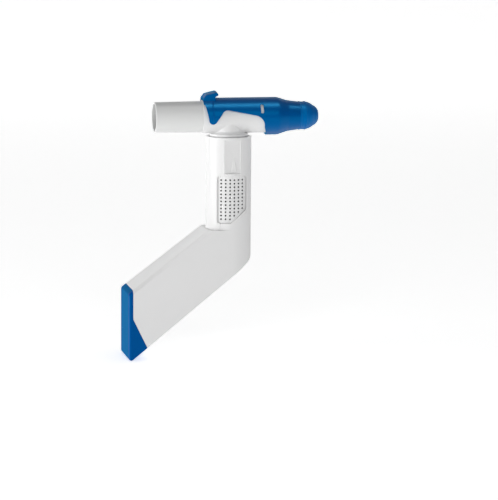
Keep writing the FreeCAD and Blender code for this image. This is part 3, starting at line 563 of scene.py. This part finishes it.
class DEVICE_OT_stage(bpy.types.Operator):
    """Sets up the floor, the lamps, the surround and the camera"""

    bl_idname = "device.stage"
    bl_label = "Stage"

    def execute(self, context):
        stage = context.scene.device_stage
        context.scene.view_settings.view_transform = "Standard"
        floor_and_backdrop(stage.glow)
        surround(stage.sky)
        lamp("key_light", stage.key_power)
        lamp("top_light", stage.top_power)
        lamp("gloss_light", stage.gloss_power).visible_diffuse = False
        lamp("fill_light", stage.fill_power)
        camera(stage)
        return {"FINISHED"}


# Stage

def floor_and_backdrop(strength):
    """A pale floor under the device that curves up into a backdrop."""
    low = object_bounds()[0][2] - FLOOR_DROP
    rows = [(-FLOOR_SIZE / 2, low)]
    for step in range(FLOOR_BEND_STEPS + 1):
        angle = math.pi / 2 * step / FLOOR_BEND_STEPS
        depth = FLOOR_SIZE / 2 - FLOOR_BEND + FLOOR_BEND * math.sin(angle)
        rows.append((depth, low + FLOOR_BEND - FLOOR_BEND * math.cos(angle)))
    rows.append((FLOOR_SIZE / 2, low + FLOOR_SIZE / 2))
    mesh = bpy.data.meshes.new("floor")
    corners = []
    faces = []
    for number, (depth, height) in enumerate(rows):
        corners += [(-FLOOR_SIZE / 2, depth, height), (FLOOR_SIZE / 2, depth, height)]
        if number:
            first = 2 * number - 2
            faces.append((first, first + 1, first + 3, first + 2))
    mesh.from_pydata(corners, [], faces)
    mesh.polygons.foreach_set("use_smooth", [True] * len(mesh.polygons))
    material = bpy.data.materials.new("pale_floor")
    material.use_nodes = True
    tree = material.node_tree
    shader = next(node for node in tree.nodes if node.type == "BSDF_PRINCIPLED")
    shader.inputs["Base Color"].default_value = (0.93, 0.93, 0.93, 1.0)
    shader.inputs["Roughness"].default_value = 0.9
    shader.inputs["Specular IOR Level"].default_value = 0.0
    shader.inputs["Emission Color"].default_value = (1.0, 1.0, 1.0, 1.0)
    shader.inputs["Emission Strength"].default_value = strength
    mesh.materials.append(material)
    floor = bpy.data.objects.new("floor", mesh)
    bpy.context.scene.collection.objects.link(floor)
    floor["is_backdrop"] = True


def surround(strength):
    """Even light from all round, and white where the camera sees past the floor."""
    world = bpy.data.worlds.new("surround")
    bpy.context.scene.world = world
    world.use_nodes = True
    tree = world.node_tree
    back = next(node for node in tree.nodes if node.type == "BACKGROUND")
    back.inputs["Color"].default_value = (1.0, 1.0, 1.0, 1.0)
    rays = tree.nodes.new("ShaderNodeLightPath")
    seen = tree.nodes.new("ShaderNodeMix")
    seen.inputs["A"].default_value = strength
    seen.inputs["B"].default_value = 1.0
    tree.links.new(rays.outputs["Is Camera Ray"], seen.inputs["Factor"])
    tree.links.new(seen.outputs["Result"], back.inputs["Strength"])


def lamp(name, power):
    """Large soft lamp that faces a point."""
    place, aim, width, height = LAMPS[name]
    data = bpy.data.lights.new(name, "AREA")
    data.shape = "RECTANGLE"
    data.size = width
    data.size_y = height
    data.energy = power
    thing = bpy.data.objects.new(name, data)
    thing.location = place
    thing.rotation_euler = (Vector(aim) - Vector(place)).to_track_quat("-Z", "Y").to_euler()
    bpy.context.scene.collection.objects.link(thing)
    return thing


def camera(stage):
    """Camera at the photograph's angle, with the grip tube where it stands in the frame."""
    turn, rise = stage.azimuth, stage.elevation
    back = Vector((math.sin(turn) * math.cos(rise), -math.cos(turn) * math.cos(rise), math.sin(rise)))
    right = Vector((math.cos(turn), math.sin(turn), 0.0))
    up = back.cross(right)
    tilted_right = right * math.cos(stage.roll) + up * math.sin(stage.roll)
    tilted_up = up * math.cos(stage.roll) - right * math.sin(stage.roll)
    data = bpy.data.cameras.new("view")
    data.sensor_fit = "VERTICAL"
    data.sensor_height = FRAME_HEIGHT
    data.lens = stage.lens
    data.shift_x = (PHOTO_SIZE[0] / 2 - AXIS_PIXEL[0]) / PHOTO_SIZE[1]
    data.shift_y = (AXIS_PIXEL[1] - PHOTO_SIZE[1] / 2) / PHOTO_SIZE[1]
    data.clip_end = 50.0
    thing = bpy.data.objects.new("view", data)
    place = AIM + back * stage.distance
    thing.matrix_world = Matrix((
        (tilted_right.x, tilted_up.x, back.x, place.x),
        (tilted_right.y, tilted_up.y, back.y, place.y),
        (tilted_right.z, tilted_up.z, back.z, place.z),
        (0.0, 0.0, 0.0, 1.0)))
    bpy.context.scene.collection.objects.link(thing)
    bpy.context.scene.camera = thing


# Sidebar and registration

PIECES = (
    DEVICE_OT_housing, DEVICE_OT_grilles, DEVICE_OT_head, DEVICE_OT_port, DEVICE_OT_nose_piece,
    DEVICE_OT_end_cap, DEVICE_OT_valve_hose, DEVICE_OT_stage)
SETTINGS = (
    ("device_colours", DeviceColours), ("device_surface", DeviceSurface), ("device_stage", DeviceStage))


class DEVICE_PT_panel(bpy.types.Panel):
    """Lists the pieces and their settings"""

    bl_idname = "DEVICE_PT_panel"
    bl_label = "Device"
    bl_space_type = "VIEW_3D"
    bl_region_type = "UI"
    bl_category = "Device"

    def draw(self, context):
        for setting, group in SETTINGS:
            box = self.layout.box()
            for label in group.__annotations__:
                box.prop(getattr(context.scene, setting), label)
        for piece in PIECES:
            self.layout.operator(piece.bl_idname)


def register():
    for _setting, group in SETTINGS:
        bpy.utils.register_class(group)
    for piece in PIECES:
        bpy.utils.register_class(piece)
    bpy.utils.register_class(DEVICE_PT_panel)
    for setting, group in SETTINGS:
        setattr(bpy.types.Scene, setting, bpy.props.PointerProperty(type=group))


def unregister():
    for setting, _group in SETTINGS:
        delattr(bpy.types.Scene, setting)
    bpy.utils.unregister_class(DEVICE_PT_panel)
    for piece in reversed(PIECES):
        bpy.utils.unregister_class(piece)
    for _setting, group in reversed(SETTINGS):
        bpy.utils.unregister_class(group)


def main():
    """Dresses the whole device."""
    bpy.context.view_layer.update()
    register()
    for piece in PIECES:
        group, name = piece.bl_idname.split(".")
        getattr(getattr(bpy.ops, group), name)()


if __name__ == "__main__":
    main()
